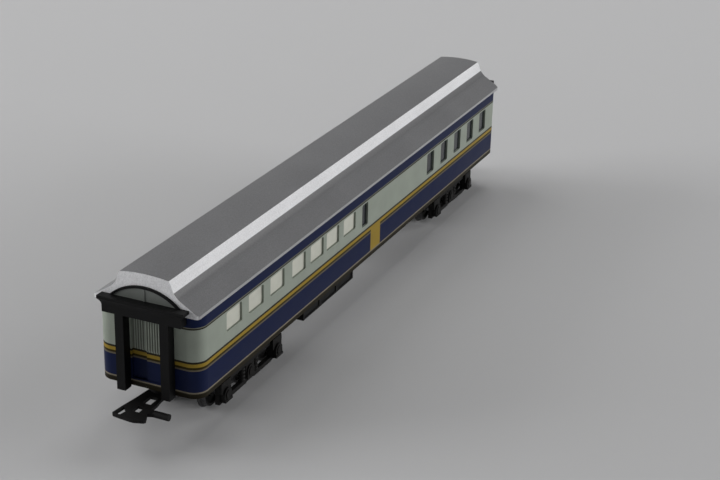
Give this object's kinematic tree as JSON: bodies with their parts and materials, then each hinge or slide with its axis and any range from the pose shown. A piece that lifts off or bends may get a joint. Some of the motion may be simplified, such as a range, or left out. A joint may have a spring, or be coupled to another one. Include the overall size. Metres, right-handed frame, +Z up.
{
  "type": "model passenger coach",
  "caption": "Long scale-model railway passenger coach with a raised-centre roof, side windows, end gangway frames, swivelling bogies with free wheels, and swinging hook couplers.",
  "frame": {"origin": "middle of the coach on the surface that the wheel flanges stand on", "axes": "+X along the coach towards the far end, +Y to the side away from the viewer, +Z up"},
  "size_m": [0.2806, 0.0366, 0.0531],
  "materials": {
    "body_moulding": "satin, painted in bands of blue, gold and pale grey-green",
    "roof_moulding": "satin grey",
    "black_moulding": "satin black",
    "pale_panels": "satin, painted like the body",
    "frosted_panes": "frosted white",
    "dark_panes": "smoked, glossy",
    "ballast_steel": "plain",
    "seat_moulding": "plain",
    "bogie_moulding": "matt black",
    "axle_steel": "turned",
    "wheel_metal": "blackened"
  },
  "bodies": {
    "coach": {"body_shell": "body_moulding", "roof": "roof_moulding", "near_gangway_frame": "black_moulding", "far_gangway_frame": "black_moulding", "near_lunette": "pale_panels", "far_lunette": "pale_panels", "near_end_door": "pale_panels", "far_end_door": "pale_panels", "left_frosted_glazing": "frosted_panes", "right_frosted_glazing": "frosted_panes", "left_dark_glazing": "dark_panes", "right_dark_glazing": "dark_panes", "underframe": "black_moulding", "left_battery_box": "black_moulding", "right_battery_box": "black_moulding", "ballast_plate": "ballast_steel", "ballast_screws": "ballast_steel", "interior_tray": "seat_moulding", "near_pivot_pin": "ballast_steel", "far_pivot_pin": "ballast_steel"},
    "near_bogie": {"near_bogie_frame": "bogie_moulding", "near_coupler_pin": "ballast_steel"},
    "near_hook": {"near_coupler": "bogie_moulding"},
    "near_wheelset_1": {"near_axle_1": "axle_steel", "near_wheels_1": "wheel_metal"},
    "near_wheelset_2": {"near_axle_2": "axle_steel", "near_wheels_2": "wheel_metal"},
    "near_wheelset_3": {"near_axle_3": "axle_steel", "near_wheels_3": "wheel_metal"},
    "far_bogie": {"far_bogie_frame": "bogie_moulding", "far_coupler_pin": "ballast_steel"},
    "far_hook": {"far_coupler": "bogie_moulding"},
    "far_wheelset_1": {"far_axle_1": "axle_steel", "far_wheels_1": "wheel_metal"},
    "far_wheelset_2": {"far_axle_2": "axle_steel", "far_wheels_2": "wheel_metal"},
    "far_wheelset_3": {"far_axle_3": "axle_steel", "far_wheels_3": "wheel_metal"}
  },
  "joints": [
    {"name": "near_bogie_pivot", "type": "hinge", "parent": "coach", "child": "near_bogie", "pos_m": [-0.088, 0, 0.013], "axis": [0, 0, 1], "range_deg": [-12, 12]},
    {"name": "near_coupler_swing", "type": "hinge", "parent": "near_bogie", "child": "near_hook", "pos_m": [-0.1196, 0, 0.01], "axis": [0, 0, 1], "range_deg": [-15, 15]},
    {"name": "near_wheelset_1_spin", "type": "hinge", "parent": "near_bogie", "child": "near_wheelset_1", "pos_m": [-0.1054, 0, 0.006], "axis": [0, 1, 0], "continuous": true},
    {"name": "near_wheelset_2_spin", "type": "hinge", "parent": "near_bogie", "child": "near_wheelset_2", "pos_m": [-0.088, 0, 0.006], "axis": [0, 1, 0], "continuous": true},
    {"name": "near_wheelset_3_spin", "type": "hinge", "parent": "near_bogie", "child": "near_wheelset_3", "pos_m": [-0.0706, 0, 0.006], "axis": [0, 1, 0], "continuous": true},
    {"name": "far_bogie_pivot", "type": "hinge", "parent": "coach", "child": "far_bogie", "pos_m": [0.088, 0, 0.013], "axis": [0, 0, 1], "range_deg": [-12, 12]},
    {"name": "far_coupler_swing", "type": "hinge", "parent": "far_bogie", "child": "far_hook", "pos_m": [0.1196, 0, 0.01], "axis": [0, 0, 1], "range_deg": [-15, 15]},
    {"name": "far_wheelset_1_spin", "type": "hinge", "parent": "far_bogie", "child": "far_wheelset_1", "pos_m": [0.1054, 0, 0.006], "axis": [0, 1, 0], "continuous": true},
    {"name": "far_wheelset_2_spin", "type": "hinge", "parent": "far_bogie", "child": "far_wheelset_2", "pos_m": [0.088, 0, 0.006], "axis": [0, 1, 0], "continuous": true},
    {"name": "far_wheelset_3_spin", "type": "hinge", "parent": "far_bogie", "child": "far_wheelset_3", "pos_m": [0.0706, 0, 0.006], "axis": [0, 1, 0], "continuous": true}
  ]
}
